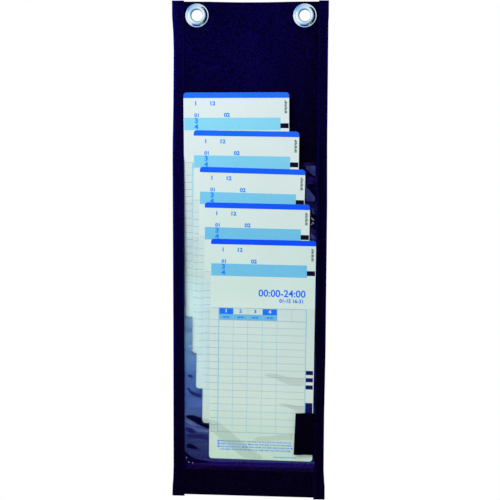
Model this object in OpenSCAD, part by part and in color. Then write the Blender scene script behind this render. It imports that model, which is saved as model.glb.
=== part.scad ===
// Hanging time card holder: cloth panel with bound sides, two eyelets,
// five overlapping clear pockets, five time cards and a folded ribbon tab.
// Front faces -Y, +Z is up, the origin lies midway between the eyelet centres
// on the back face of the cloth.

/* [Panel] */
// Width of the cloth between the folds of the side binding
panel_w = 123; // [121:1:135]
// Height of the cloth panel
panel_h = 400; // [370:1:440]
// Thickness of the cloth
cloth_t = 0.6; // [0.5:0.05:0.8]
// Depth of the top hem, turned to the back
top_hem = 25; // [24:0.5:32]
// Height of the bottom hem, turned to the front
bottom_hem = 20.7; // [16:0.1:22]

/* [Eyelets] */
// Eyelet centres in from the side edges of the cloth
eyelet_inset = 18.5; // [18.5:0.5:26]
// Eyelet centres below the top edge of the cloth
eyelet_drop = 11; // [10.5:0.5:12]
// Clear hole through an eyelet
bore_d = 8.8; // [7:0.1:9.5]
// Outer diameter of the eyelet flange
flange_d = 18.8; // [17:0.1:19]
// Thickness of the eyelet metal
metal_t = 0.5; // [0.4:0.05:0.6]

/* [Pockets] */
// Step from one pocket floor to the next
pocket_pitch = 29; // [27:0.5:31]
// Pocket depth from floor to mouth
pocket_depth = 126; // [110:1:130]
// Floor of the lowest pocket above the bottom edge
floor_h = 29.5; // [29.5:0.5:34]
// Floor of pocket 1 above its even step
floor_shift_1 = 1.5; // [-1:0.1:1.5]
// Floor of pocket 3 above its even step, sewn a little low
floor_shift_3 = -1.1; // [-1.1:0.1:1]
// Vinyl sheet thickness
sheet_t = 0.2; // [0.15:0.01:0.22]

/* [Cards] */
// Card width
card_w = 84.5; // [78:0.5:86]
// Card height
card_h = 181; // [165:1:190]
// Card thickness
card_t = 0.25; // [0.2:0.01:0.3]
// Card corner radius
card_r = 2.5; // [1:0.1:5]
// Sideways place of card 1 in its pocket, 0 is hard left and 1 hard right
place_1 = 0.02; // [0:0.01:1]
// Sideways place of card 2
place_2 = 0.34; // [0:0.01:1]
// Sideways place of card 3
place_3 = 0.53; // [0:0.01:1]
// Sideways place of card 4
place_4 = 0.75; // [0:0.01:1]
// Sideways place of card 5
place_5 = 1; // [0:0.01:1]
// Turn of card 1 in its pocket, top to the right is positive
turn_1 = -0.4; // [-1.2:0.05:1.2]
// Turn of card 2
turn_2 = 0.45; // [-1.2:0.05:1.2]
// Turn of card 3
turn_3 = 1.15; // [-1.2:0.05:1.2]
// Turn of card 4
turn_4 = 0.75; // [-1.2:0.05:1.2]
// Turn of card 5
turn_5 = 0.6; // [-1.2:0.05:1.2]

/* [Binding] */
// Width of the binding tape seen from the front
tape_face = 7.5; // [7:0.1:8.5]
// Thickness of the binding tape
tape_t = 0.5; // [0.4:0.05:0.6]
// How far the tape ends stand past the cloth
tape_over = 1.5; // [0.5:0.1:3]
// Length of the turned-in tape end at the top
turn_in_top = 14; // [8:0.5:20]
// Length of the turned-in tape end at the bottom
turn_in_bottom = 11; // [8:0.5:15]

/* [Label tab] */
// Width of the tab from its seam to its folded free edge
label_w = 15.4; // [10:0.2:20]
// Height of the tab
label_h = 34.5; // [20:0.5:40]
// Thickness of the folded tab
label_t = 0.8; // [0.6:0.05:0.8]
// Lower end of the tab above the lowest pocket floor
label_up = 6; // [4:0.5:40]
// How far the tab stands open at rest, in degrees
label_rest = 6; // [2:0.5:20]

/* [Thread] */
// Thread thickness
thread_t = 0.3; // [0.2:0.02:0.32]
// Length of a stitch on the front
stitch = 4; // [3:0.5:6]
// Space between two stitches on the front
stitch_gap = 2; // [1.5:0.5:3]

/* [Hidden] */
$fn = 72;

// clearances
sew_gap = 0.02;
slide_gap = 0.15;
side_gap = 0.3;
hem_gap = sheet_t + 0.1;

// heights
z_top = eyelet_drop;
z_bot = z_top - panel_h;
z_hem = z_bot + bottom_hem;
floor_shifts = [floor_shift_1, 0, floor_shift_3, 0, 0];
function floor_z(k) = z_bot + floor_h + (5 - k) * pocket_pitch + floor_shifts[k - 1];
function mouth_z(k) = floor_z(k) + pocket_depth;

// sheet stack, all offsets are measured forward from the front of the cloth
tuck = 5.2;
strip = floor_h - bottom_hem + tuck;
ramp = 4;
flange_step = sheet_t + sew_gap;
layer = card_t + sheet_t + 2 * slide_gap;
card_step = layer - flange_step;
room = card_t + 2 * slide_gap - strip * flange_step / pocket_pitch + 0.006;
lean = atan(layer / pocket_pitch);
function lift(u) = u <= strip - ramp ? 0
  : u <= strip ? room * (u - strip + ramp) / ramp
  : room + (u - strip) * card_step / pocket_pitch;
function sheet_off(u, f) = u * flange_step / pocket_pitch + f * lift(u);
floor_off = sheet_off(strip, 1);
mouth_off = sheet_off(strip + pocket_depth, 1) + sheet_t;
card_back = floor_off - slide_gap - card_t;

// widths
half_w = panel_w / 2;
eyelet_spacing = panel_w - 2 * eyelet_inset;
lip_x = half_w - tape_face;
seam_x = half_w - tape_face * 0.53;
sheet_x = half_w - 0.1;
card_x_max = lip_x - side_gap;

// side binding, inner offsets against height
bind_low = hem_gap + cloth_t + 0.05;
bind_high = sheet_off(strip + pocket_depth, 0) + sheet_t + 0.04;
fade = 25;
function bind_off(z) = lookup(z, [[z_hem, bind_low], [mouth_z(5), max(bind_high, bind_low)],
  [mouth_z(1), max(bind_high, bind_low)], [mouth_z(1) + fade, 0.05]]);
function lip_off(z) = lookup(z, [[floor_z(5), max(bind_low, floor_off + sheet_t + 0.09)],
  [mouth_z(5), mouth_off + 0.09], [mouth_z(1), mouth_off + 0.09], [mouth_z(1) + fade, 0.05]]);
function back_off(z) = lookup(z, [[z_top - top_hem - 3, sew_gap], [z_top - top_hem - 1, cloth_t + sew_gap]]);
function tape_thick(z) = lookup(z, [[z_bot + turn_in_bottom - 1, 2 * tape_t], [z_bot + turn_in_bottom, tape_t],
  [z_top - turn_in_top, tape_t], [z_top - turn_in_top + 1, 2 * tape_t]]);
tape_stations = [z_bot - tape_over, z_bot + turn_in_bottom - 1, z_bot + turn_in_bottom, z_hem, floor_z(5),
  mouth_z(5), mouth_z(1), mouth_z(1) + fade, z_top - top_hem - 3, z_top - top_hem - 1,
  z_top - turn_in_top, z_top - turn_in_top + 1, z_top + tape_over];
fold_x = half_w + sew_gap;

// label tab
label_r = label_t / 2;
label_x = lip_x - label_r - 0.05;
label_off = floor_off + sheet_t + 0.1 + label_r + label_up * layer / pocket_pitch;
label_z = floor_z(5) + label_up;

// cards
places = [place_1, place_2, place_3, place_4, place_5];
turns = [turn_1, turn_2, turn_3, turn_4, turn_5];
function reach(a) = card_h * sin(a);
function half_card(a) = card_w / 2 * cos(a);
function card_lo(a) = -card_x_max + half_card(a) - min(0, reach(a));
function card_hi(a) = card_x_max - half_card(a) - max(0, reach(a));
function card_x(k) = card_lo(turns[k - 1]) + places[k - 1] * (card_hi(turns[k - 1]) - card_lo(turns[k - 1]));
function card_z(k) = floor_z(k) + card_w / 2 * abs(sin(turns[k - 1]));

// stitch rows
bind_stitch_x = half_w - 2;
hem_stitch_top = z_top - top_hem + 2.2;
hem_stitch_bottom = z_hem - 2;
pocket_stitch_up = strip - 7;
row_x = lip_x - 1.5;

cloth_colour = [0.03, 0.03, 0.20];
tape_colour = [0.02, 0.02, 0.15];
metal_colour = [0.80, 0.80, 0.82];
vinyl_colour = [0.75, 0.85, 0.95, 0.35];
paper_colour = [0.82, 0.89, 0.88];
label_colour = [0.06, 0.06, 0.12];
thread_colour = [0.05, 0.05, 0.25];

// closed skin between an inner and an outer grid of points,
// the first columns split their cells along the other diagonal so that both sides mirror
function skin_faces(n, m, other) = let (s = n * m) concat(
  [for (i = [0:n - 2], j = [0:m - 2]) each cell(s + i * m + j, m, i < other)],
  [for (i = [0:n - 2], j = [0:m - 2]) for (f = cell(i * m + j, m, i < other)) [f[2], f[1], f[0]]],
  [for (i = [0:n - 2]) let (a = i * m) each [[s + a, s + a + m, a + m], [s + a, a + m, a]]],
  [for (i = [0:n - 2]) let (a = i * m + m - 1) each [[s + a + m, s + a, a], [s + a + m, a, a + m]]],
  [for (j = [0:m - 2]) each [[s + j + 1, s + j, j], [s + j + 1, j, j + 1]]],
  [for (j = [0:m - 2]) let (a = (n - 1) * m + j) each [[s + a, s + a + 1, a + 1], [s + a, a + 1, a]]]);
function cell(a, m, other) = other
  ? [[a, a + 1, a + m], [a + 1, a + m + 1, a + m]]
  : [[a, a + 1, a + m + 1], [a, a + m + 1, a + m]];

module skin(inner, outer, other = 0) {
  n = len(inner);
  m = len(inner[0]);
  points = concat([for (row = inner) for (p = row) p], [for (row = outer) for (p = row) p]);
  polyhedron(points = points, faces = skin_faces(n, m, other));
}

// running stitch as one meander, front and back levels are functions of the run
function meander(starts, front, back, long, t) = concat(
  [for (i = [0:len(starts) - 1]) let (a = starts[i], b = a + long, e = t / 2)
    each [[a - e, front[i] + e], [b + e, front[i] + e],
      each i < len(starts) - 1 ? [[b + e, back[i] + e], [starts[i + 1] - e, back[i] + e]] : []]],
  [let (i = len(starts) - 1, e = t / 2) each [[starts[i] + long + e, back[i]], [starts[i] + long - e, back[i]]]],
  [for (k = [0:len(starts) - 1]) let (i = len(starts) - 1 - k, a = starts[i], b = a + long, e = t / 2)
    each [each i < len(starts) - 1 ? [[starts[i + 1] + e, back[i] - e], [b - e, back[i] - e]] : [],
      [b - e, front[i] - e], [a + e, front[i] - e]]],
  [let (e = t / 2) each [[starts[0] + e, back[0]], [starts[0] - e, back[0]]]]);
function run_starts(lo, hi) = let (p = stitch + stitch_gap, n = floor((hi - lo - stitch) / p))
  [for (i = [0:n]) lo + (hi - lo - stitch - n * p) / 2 + i * p];

module back_panel() {
  color(cloth_colour)
  difference() {
    rotate([90, 0, 90])
    translate([0, 0, -half_w])
    linear_extrude(panel_w)
    panel_section();
    for (s = [-1, 1])
      translate([s * eyelet_spacing / 2, 0, 0])
      rotate([90, 0, 0])
      cylinder(h = 10, r = bore_d / 2 + metal_t + 0.1, center = true);
  }
}

// section in depth and height
module panel_section() {
  fold = (2 * cloth_t + hem_gap) / 2;
  translate([-cloth_t, z_bot + fold])
  square([cloth_t, panel_h - fold - cloth_t]);
  translate([0, z_top - top_hem])
  square([cloth_t, top_hem - cloth_t]);
  intersection() {
    translate([0, z_top - cloth_t])
    circle(r = cloth_t);
    translate([-cloth_t, z_top - cloth_t])
    square([2 * cloth_t, cloth_t]);
  }
  translate([-2 * cloth_t - hem_gap, z_bot + fold])
  square([cloth_t, bottom_hem - fold]);
  difference() {
    translate([-cloth_t - hem_gap / 2, z_bot + fold])
    circle(r = fold);
    translate([-cloth_t - hem_gap / 2, z_bot + fold])
    circle(r = hem_gap / 2);
    translate([-cloth_t - hem_gap / 2 - 2 * fold, z_bot + fold])
    square([4 * fold, 2 * fold]);
  }
}

module binding() {
  skin(
    [for (i = [0:8]) [for (z = tape_stations) tape_inner(i, z)]],
    [for (i = [0:8]) [for (z = tape_stations) tape_outer(i, z)]]);
}
function front_y(o) = -cloth_t - o;
function tape_inner(i, z) =
  i == 0 ? [lip_x, front_y(lip_off(z)), z]
  : i == 1 ? [seam_x, front_y(bind_off(z)), z]
  : i == 2 ? [fold_x - 0.12, front_y(bind_off(z)), z]
  : i == 3 ? [fold_x, front_y(bind_off(z)), z]
  : i == 4 ? [fold_x, front_y(bind_off(z) - 0.12), z]
  : i == 5 ? [fold_x, back_off(z) - 0.12, z]
  : i == 6 ? [fold_x, back_off(z), z]
  : i == 7 ? [fold_x - 0.12, back_off(z), z]
  : [lip_x, back_off(z), z];
function tape_outer(i, z) = let (t = tape_thick(z))
  i == 0 ? [lip_x, front_y(lip_off(z) + t), z]
  : i == 1 ? [seam_x, front_y(bind_off(z) + t), z]
  : i == 2 ? [fold_x - 0.1, front_y(bind_off(z) + t), z]
  : i == 3 ? [fold_x + 0.7 * t, front_y(bind_off(z) + 0.7 * t), z]
  : i == 4 ? [fold_x + t, front_y(bind_off(z) - 0.1), z]
  : i == 5 ? [fold_x + t, back_off(z) - 0.1, z]
  : i == 6 ? [fold_x + 0.7 * t, back_off(z) + 0.7 * t, z]
  : i == 7 ? [fold_x - 0.1, back_off(z) + t, z]
  : [lip_x, back_off(z) + t, z];

module left_binding() {
  color(tape_colour)
  mirror([1, 0, 0])
  binding();
}
module right_binding() {
  color(tape_colour)
  binding();
}

// eyelet turned about the hole axis, heights measured forward from the front of the cloth
bore_r = bore_d / 2;
barrel_r = bore_r + metal_t;
rim_r = flange_d / 2;
dome_r = rim_r - 1.3;
dome_mid = (bore_r + dome_r) / 2;
dome_half = (dome_r - bore_r) / 2;
dome_rise = 1.2;
curl_half = 1.3;
curl_rise = 0.8;
back_face = -2 * cloth_t;
module eyelet_section() {
  polygon(concat(
    [[bore_r, metal_t]],
    [for (a = [165:-15:15]) [dome_mid + dome_half * cos(a), metal_t + dome_rise * sin(a)]],
    [[dome_r, metal_t], [dome_r + 0.35, metal_t - 0.1], [dome_r + 0.6, metal_t + 0.15],
      [rim_r - 0.3, metal_t + 0.15], [rim_r, metal_t - 0.1], [rim_r, 0], [barrel_r, 0],
      [barrel_r, back_face - metal_t]],
    [for (a = [0:20:180]) [bore_r + curl_half * (1 + cos(a)), back_face - metal_t - curl_rise * sin(a)]]));
}
module washer_section() {
  translate([barrel_r + 0.05, back_face - metal_t])
  square([rim_r - barrel_r - 0.35, metal_t]);
}
// stands the turned section on the cloth with its height toward the viewer
module on_cloth(s) {
  translate([s * eyelet_spacing / 2, -cloth_t, 0])
  rotate([90, 0, 0])
  children();
}
module eyelet(s) {
  color(metal_colour)
  on_cloth(s)
  rotate_extrude($fn = 96)
  eyelet_section();
}
module washer(s) {
  color(metal_colour)
  on_cloth(s)
  rotate_extrude($fn = 96)
  washer_section();
}
module eyelet_left() { eyelet(-1); }
module eyelet_right() { eyelet(1); }
module eyelet_washer_left() { washer(-1); }
module eyelet_washer_right() { washer(1); }

// clear sheet k, its sides run out flat under the binding
sheet_xs = [-sheet_x, -seam_x, -lip_x, lip_x, seam_x, sheet_x];
sheet_fs = [0, 0, 1, 1, 0, 0];
sheet_us = [0, strip - ramp, strip, strip + pocket_depth];
module pocket_sheet(k) {
  color(vinyl_colour)
  skin(
    [for (i = [0:5]) [for (u = sheet_us)
      [sheet_xs[i], front_y(sheet_off(u, sheet_fs[i])), floor_z(k) - strip + u]]],
    [for (i = [0:5]) [for (u = sheet_us)
      [sheet_xs[i], front_y(sheet_off(u, sheet_fs[i]) + sheet_t), floor_z(k) - strip + u]]],
    other = 2);
}
module pocket_sheet_1() { pocket_sheet(1); }
module pocket_sheet_2() { pocket_sheet(2); }
module pocket_sheet_3() { pocket_sheet(3); }
module pocket_sheet_4() { pocket_sheet(4); }
module pocket_sheet_5() { pocket_sheet(5); }

module card_outline() {
  translate([-card_w / 2, card_r])
  square([card_w, card_h - 2 * card_r]);
  translate([-card_w / 2 + card_r, 0])
  square([card_w - 2 * card_r, card_h]);
  for (x = [-card_w / 2 + card_r, card_w / 2 - card_r], z = [card_r, card_h - card_r])
    translate([x, z])
    circle(r = card_r);
}
module time_card(k) {
  color(paper_colour)
  translate([card_x(k), front_y(card_back), card_z(k)])
  rotate([lean, 0, 0])
  rotate([0, turns[k - 1], 0])
  rotate([90, 0, 0])
  linear_extrude(card_t)
  card_outline();
}
module time_card_1() { time_card(1); }
module time_card_2() { time_card(2); }
module time_card_3() { time_card(3); }
module time_card_4() { time_card(4); }
module time_card_5() { time_card(5); }

// ribbon folded at its free edge, rolled root at the seam
module label_tab() {
  color(label_colour)
  translate([label_x, front_y(label_off), label_z])
  rotate([lean, 0, 0])
  rotate([0, 0, label_rest]) {
    cylinder(h = label_h, r = label_r);
    translate([-label_w + label_r, -label_r, 0])
    cube([label_w - label_r, label_t, label_h]);
    translate([-label_w + label_r, 0, 0])
    cylinder(h = label_h, r = label_r);
  }
}

// stitches along a side binding
module binding_thread() {
  starts = run_starts(z_bot + 2, z_top - 2);
  front = [for (a = starts) let (z = a + stitch / 2) bind_off(z) + tape_thick(z) + thread_t / 2];
  back = [for (a = starts) let (z = a + stitch) -cloth_t - back_off(z) - tape_thick(z) - thread_t / 2];
  translate([bind_stitch_x - 0.2, -cloth_t, 0])
  rotate([0, -90, 180])
  linear_extrude(0.4)
  polygon(meander(starts, front, back, stitch, thread_t));
}
module left_binding_thread() {
  color(thread_colour)
  mirror([1, 0, 0])
  binding_thread();
}
module right_binding_thread() {
  color(thread_colour)
  binding_thread();
}

// stitches along a row of constant height, front and back surfaces given as offsets
module row_thread(z, front, back) {
  starts = run_starts(-row_x, row_x);
  color(thread_colour)
  translate([0, -cloth_t, z + 0.2])
  rotate([180, 0, 0])
  linear_extrude(0.4)
  polygon(meander(starts, [for (a = starts) front + thread_t / 2], [for (a = starts) back - thread_t / 2],
    stitch, thread_t));
}
module top_hem_thread() { row_thread(hem_stitch_top, 0, -2 * cloth_t); }
module bottom_hem_thread() { row_thread(hem_stitch_bottom, hem_gap + cloth_t, -cloth_t); }
module pocket_thread(k) {
  row_thread(floor_z(k) - strip + pocket_stitch_up, sheet_off(pocket_stitch_up, 1) + sheet_t, -cloth_t);
}
module pocket_thread_1() { pocket_thread(1); }
module pocket_thread_2() { pocket_thread(2); }
module pocket_thread_3() { pocket_thread(3); }
module pocket_thread_4() { pocket_thread(4); }
module pocket_thread_5() { pocket_thread(5); }

back_panel();
left_binding();
right_binding();
eyelet_left();
eyelet_right();
eyelet_washer_left();
eyelet_washer_right();
pocket_sheet_1();
pocket_sheet_2();
pocket_sheet_3();
pocket_sheet_4();
pocket_sheet_5();
time_card_1();
time_card_2();
time_card_3();
time_card_4();
time_card_5();
label_tab();
left_binding_thread();
right_binding_thread();
top_hem_thread();
bottom_hem_thread();
pocket_thread_1();
pocket_thread_2();
pocket_thread_3();
pocket_thread_4();
pocket_thread_5();
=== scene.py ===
# Hanging time card holder: navy cloth, sewn tape, plated eyelets, clear pockets, printed cards
import bpy
from math import atan, atan2, cos, degrees, hypot, pi, radians, sin
from mathutils import Matrix, Vector, noise


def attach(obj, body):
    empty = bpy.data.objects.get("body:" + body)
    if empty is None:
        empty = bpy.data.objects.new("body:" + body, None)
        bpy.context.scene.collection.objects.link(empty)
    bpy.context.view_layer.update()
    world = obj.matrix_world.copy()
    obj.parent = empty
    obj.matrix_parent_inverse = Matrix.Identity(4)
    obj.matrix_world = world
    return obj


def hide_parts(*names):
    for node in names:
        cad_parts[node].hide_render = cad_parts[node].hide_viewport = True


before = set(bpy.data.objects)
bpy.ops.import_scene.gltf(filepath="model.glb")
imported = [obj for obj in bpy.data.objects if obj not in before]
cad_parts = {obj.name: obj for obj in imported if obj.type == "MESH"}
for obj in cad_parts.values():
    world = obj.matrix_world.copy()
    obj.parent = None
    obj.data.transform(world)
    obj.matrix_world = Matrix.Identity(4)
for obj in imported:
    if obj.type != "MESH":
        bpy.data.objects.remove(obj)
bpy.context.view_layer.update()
mm = 0.001
meshOps = bpy.ops.mesh
print("stage: frame loaded,", len(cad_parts), "nodes")


# small helpers

def setMode(kind):
    bpy.ops.object.mode_set(mode=kind)


def setAll(thing, **values):
    for k, v in values.items():
        setattr(thing, k, v)


def deselectAll():
    bpy.ops.object.select_all(action="DESELECT")


def pick(obj):
    deselectAll()
    obj.select_set(True)
    bpy.context.view_layer.objects.active = obj


def added(operator, **values):
    deselectAll()
    operator(**values)
    return bpy.context.object


def rename(obj, name):
    obj.name = name
    obj.data.name = name
    return obj


def modify(obj, name, kind, **values):
    # one modifier, set and applied
    setAll(obj.modifiers.new(name, kind), **values)
    pick(obj)
    bpy.ops.object.modifier_apply(modifier=name)


def tidyNormals(obj, smoothAngle=None):
    pick(obj)
    setMode("EDIT")
    meshOps.select_all(action="SELECT")
    meshOps.normals_make_consistent(inside=False)
    setMode("OBJECT")
    if smoothAngle is None:
        bpy.ops.object.shade_smooth()
    else:
        bpy.ops.object.shade_smooth_by_angle(angle=radians(smoothAngle))


def joinAll(name, parts):
    pick(parts[0])
    for p in parts[1:]:
        p.select_set(True)
    if len(parts) > 1:
        bpy.ops.object.join()
    return rename(bpy.context.object, name)


def dress(obj, *materials):
    obj.data.materials.clear()
    for m in materials:
        obj.data.materials.append(m)


def settle(obj, body, slotName, *nodes):
    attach(obj, body)
    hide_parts(*nodes)


def smooth(a, b, x):
    t = min(1, max(0, (x - a) / (b - a)))
    return t * t * (3 - 2 * t)


def ramp(x, points):
    if x <= points[0][0]:
        return points[0][1]
    for (x0, y0), (x1, y1) in zip(points, points[1:]):
        if x <= x1:
            return y0 + (y1 - y0) * (x - x0) / (x1 - x0)
    return points[-1][1]


def gridSheet(name, across, along, place, thick, columns=None):
    # a grid laid by place(u, v) in millimetres and given its thickness, columns spaces its map by real width
    sheet = rename(added(meshOps.primitive_grid_add, x_subdivisions=across, y_subdivisions=along,
                         size=1, calc_uvs=True), name)
    for v in sheet.data.vertices:
        v.co = Vector(place(v.co.x + 0.5, v.co.y + 0.5)) * mm
    if columns:
        for corner in sheet.data.uv_layers.active.data:
            corner.uv.x = columns[round(corner.uv.x * across)]
    modify(sheet, "wall", "SOLIDIFY", thickness=thick * mm, offset=0, use_even_offset=True)
    tidyNormals(sheet, 50)
    return sheet


# sizes shared by all pieces, in millimetres, as in the part's source
# spare is room behind a card, shy is how much thinner a sheet is drawn than its solid

holder = {
    "panelW": 123, "panelH": 400, "drop": 11, "cloth": 0.6, "topHem": 25, "bottomHem": 20.7,
    "pitch": 29, "depth": 126, "floor": 29.5, "vinyl": 0.2, "card": 0.25, "slide": 0.15, "sew": 0.02,
    "tuck": 5.2, "ramp": 4, "lip": 54, "seam": 57.525, "tape": 0.5, "over": 1.5,
    "turnTop": 14, "turnBottom": 11, "eyeletX": 43, "shift": (1.5, 0, -1.1, 0, 0),
    "spare": 0.006, "shy": 0.04}
clothT, vinylT, lipEdge, seamX, depth, topHem = (
    holder[k] for k in ("cloth", "vinyl", "lip", "seam", "depth", "topHem"))
zTop = holder["drop"]
zBot = zTop - holder["panelH"]
zHem = zBot + holder["bottomHem"]
hemGap = vinylT + 0.1
strip = holder["floor"] - holder["bottomHem"] + holder["tuck"]
flangeStep = vinylT + holder["sew"]
layer = holder["card"] + vinylT + 2 * holder["slide"]
cardStep = layer - flangeStep
room = holder["card"] + 2 * holder["slide"] - strip * flangeStep / holder["pitch"] + holder["spare"]
lean = atan(layer / holder["pitch"])


def floorZ(k):
    return zBot + holder["floor"] + (5 - k) * holder["pitch"] + holder["shift"][k - 1]


def mouthZ(k):
    return floorZ(k) + depth


def lift(u):
    if u <= strip - holder["ramp"]:
        return 0
    if u <= strip:
        return room * smooth(strip - holder["ramp"], strip, u)
    return room + (u - strip) * cardStep / holder["pitch"]


def sheetOff(u, f):
    # how far a sheet stands off the cloth, u up from its lower edge, f is 0 at the sides and 1 between them
    return u * flangeStep / holder["pitch"] + f * lift(u)


def frontY(o):
    return -clothT - o


sides = ((-1, "left"), (1, "right"))
# by side, height and width: how far the cloth's edge strays, and where the tape's free lip lies
outline = {
    -1: [(-389, 0.75), (-378, 0.35), (-366, 0), (-250, 0.15), (-150, 0.55), (-100, 0.65), (-72, 0.15),
        (-28, -0.2), (-16, 0.1), (-4, 0.85), (11, 0.95)],
    1: [(-389, 0.05), (-378, 0), (-366, -0.75), (-320, -0.7), (-270, -0.1), (-150, 0.1), (-100, -0.35),
        (-50, -0.35), (11, -0.3)]}
lipX = {
    -1: [(-389, 52.7), (-150, 52.7), (-60, 53.3), (11, 53.4)],
    1: [(-389, 53), (-372, 53.2), (-360, 54), (-100, 54), (-60, 54.2), (11, 54.3)]}


def sideX(x, z):
    # the real cloth isn't quite straight: its sides draw in and out by under a millimetre
    side = 1 if x > 0 else -1
    return x + side * ramp(z, outline[side]) * smooth(lipEdge, seamX, abs(x))


floorOff = sheetOff(strip, 1)
mouthOff = sheetOff(strip + depth, 1) + vinylT


# camera, fitted to the outline of the panel in the photograph, focal length in pixels

eye = {"tilt": 5.73, "swing": -5.16, "roll": -0.26, "right": 0.685, "up": 186.17, "far": 1200,
       "focal": 1511.3, "pixels": 500, "sensor": 36}


def makeCamera():
    rx, ry, rz = (radians(eye[k]) for k in ("tilt", "swing", "roll"))
    turn = Matrix.Rotation(rz, 3, "Z") @ Matrix.Rotation(rx, 3, "X") @ Matrix.Rotation(ry, 3, "Y")
    stand = Matrix(((1, 0, 0), (0, 0, 1), (0, -1, 0)))
    back = (turn @ stand).transposed()
    place = back @ (Vector((-eye["right"], -eye["up"], eye["far"])) * mm)
    cam = added(bpy.ops.object.camera_add)
    cam.name = "photoCamera"
    cam.matrix_world = Matrix.Translation(place) @ back.to_4x4()
    setAll(cam.data, sensor_width=eye["sensor"], lens=eye["focal"] / eye["pixels"] * eye["sensor"],
           clip_start=0.05, clip_end=50)
    bpy.context.scene.camera = cam


makeCamera()
print("stage: camera placed")


# building blocks for materials, they go into the material or the world that is being built

work = {"on": None}


def newMaterial(name):
    work["on"] = bpy.data.materials.new(name)
    work["on"].use_nodes = True


def addNode(kind, **values):
    n = work["on"].node_tree.nodes.new("ShaderNode" + kind)
    for k, v in values.items():
        if k in n.inputs:
            n.inputs[k].default_value = v
        else:
            setattr(n, k, v)
    return n


def link(value, target):
    # a socket is linked, a number or a colour is set
    if hasattr(value, "is_linked"):
        work["on"].node_tree.links.new(value, target)
    elif target.type == "RGBA":
        target.default_value = (*value, 1)
    else:
        target.default_value = value


def surface(colour=None, rough=None, gloss=None, **values):
    values.update({"Base Color": colour, "Roughness": rough, "Specular IOR Level": gloss})
    for name, value in values.items():
        if value is not None:
            link(value, work["on"].node_tree.nodes["Principled BSDF"].inputs[name])
    return work["on"]


def colourOf(mat):
    # goes on building a finished material, from its colour
    work["on"] = mat
    return mat.node_tree.nodes["Principled BSDF"].inputs["Base Color"].links[0].from_socket


def feed(node, *values):
    # sets or links a node's first inputs in their order
    for socket, value in zip(node.inputs, values):
        link(value, socket)
    return node.outputs


def axes(source):
    return feed(addNode("SeparateXYZ"), addNode("TexCoord").outputs[source])


def coordinates(source, scale, turn=(0, 0, 0)):
    mapping = addNode("Mapping", Scale=scale, Rotation=turn)
    return feed(mapping, addNode("TexCoord").outputs[source])[0]


def noiseNode(scale, stretch=(1, 1, 1), turn=(0, 0, 0), **values):
    return feed(addNode("TexNoise", Scale=scale, **values), coordinates("Object", stretch, turn))["Fac"]


def graded(fac, stops):
    r = addNode("ValToRGB")
    while len(r.color_ramp.elements) < len(stops):
        r.color_ramp.elements.new(0.5)
    for e, (pos, *colour) in zip(r.color_ramp.elements, stops):
        e.position = pos
        e.color = (*colour, 1)
    return feed(r, fac)["Color"]


def greyRamp(fac, stops):
    return graded(fac, [(pos, grey, grey, grey) for pos, grey in stops])


def mix(fac, a, b, how="MIX"):
    m = addNode("Mix", data_type="RGBA", blend_type=how)
    for name, value in (("Factor", fac), ("A", a), ("B", b)):
        link(value, next(i for i in m.inputs if i.name == name and i.enabled))
    return next(o for o in m.outputs if o.enabled)


def tint(a, b):
    return mix(1, a, b, "MULTIPLY")


def blend(how, a, b):
    return feed(addNode("Math", operation=how), a, b)[0]


def product(a, b):
    return blend("MULTIPLY", a, b)


def slope(value, low, high, start=0, end=1, ease="LINEAR"):
    return feed(addNode("MapRange", interpolation_type=ease), value, low, high, start, end)["Result"]


def within(axis, low, high, ease="SMOOTHSTEP"):
    # 0 to 1 along one axis of the object, in millimetres
    return slope(axes("Object")[axis], low * mm, high * mm, ease=ease)


def relief(height, strength, deep):
    n = addNode("Bump", Strength=strength, Distance=deep)
    link(height, n.inputs["Height"])
    return n.outputs["Normal"]


# cloth, tape, ribbon and thread

def wovenMaterial(name, deep, fresh, pitch, size, bump, fade, back=None):
    # plain weave on the piece's own map, size is the cloth's width and length in millimetres
    # painted light and shade: the colour goes from deep at the foot and the right to lit at the head and the
    # left, as the light falls; fade gives the heights and the sides
    # back is the wrong side's dye, made lighter than the front as painted light, so the back shows
    newMaterial(name)
    uv = coordinates("UV", (size[0] / pitch, size[1] / pitch, 1))
    warp, weft = (feed(addNode("TexWave", bands_direction=way, Scale=0.5, Distortion=0.6), uv)["Color"]
                  for way in "XY")
    weave = mix(feed(addNode("TexChecker", Scale=1), uv)["Fac"], warp, weft)
    slub = noiseNode(420, (0.6, 1, 1.5), Detail=4, Roughness=0.6)
    cloud = noiseNode(26, (1, 1, 0.6), (0, 0.5, 0), Detail=3, Roughness=0.5)
    tone = mix(0.5, slub, cloud)

    def uneven(dye, dark, pale):
        return graded(tone, [(pos, *(share * c for c in dye)) for pos, share in ((0.34, dark), (0.66, pale))])

    # painted light: 1 where the cloth is painted lit, at the head and the left, 0 where it is painted shaded
    worn = product(within("Z", *fade[:2]), within("X", *fade[2:]))
    colour = mix(worn, uneven(deep, 0.75, 1.25), uneven(fresh, 0.62, 1.5))
    if back:
        # the faces turned to the back get the lighter back dye, painted light
        faces = feed(addNode("SeparateXYZ"), addNode("NewGeometry").outputs["Normal"])
        colour = mix(slope(faces["Y"], 0.2, 0.6), colour, uneven(back, 0.7, 1.3))
    speck = noiseNode(1000, Detail=1)
    colour = tint(colour, graded(speck, [(0.36, 0.35, 0.5, 0.35), (0.64, 1.65, 1.5, 1.65)]))
    return surface(mix(0.3, colour, weave, "MULTIPLY"), 0.92, 0,
                   Normal=relief(mix(0.3, weave, slub), bump, 0.0002))


# each cloth's fade paints its light and shade: lighter at the head and the left, darker at the foot and the
# right
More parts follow.
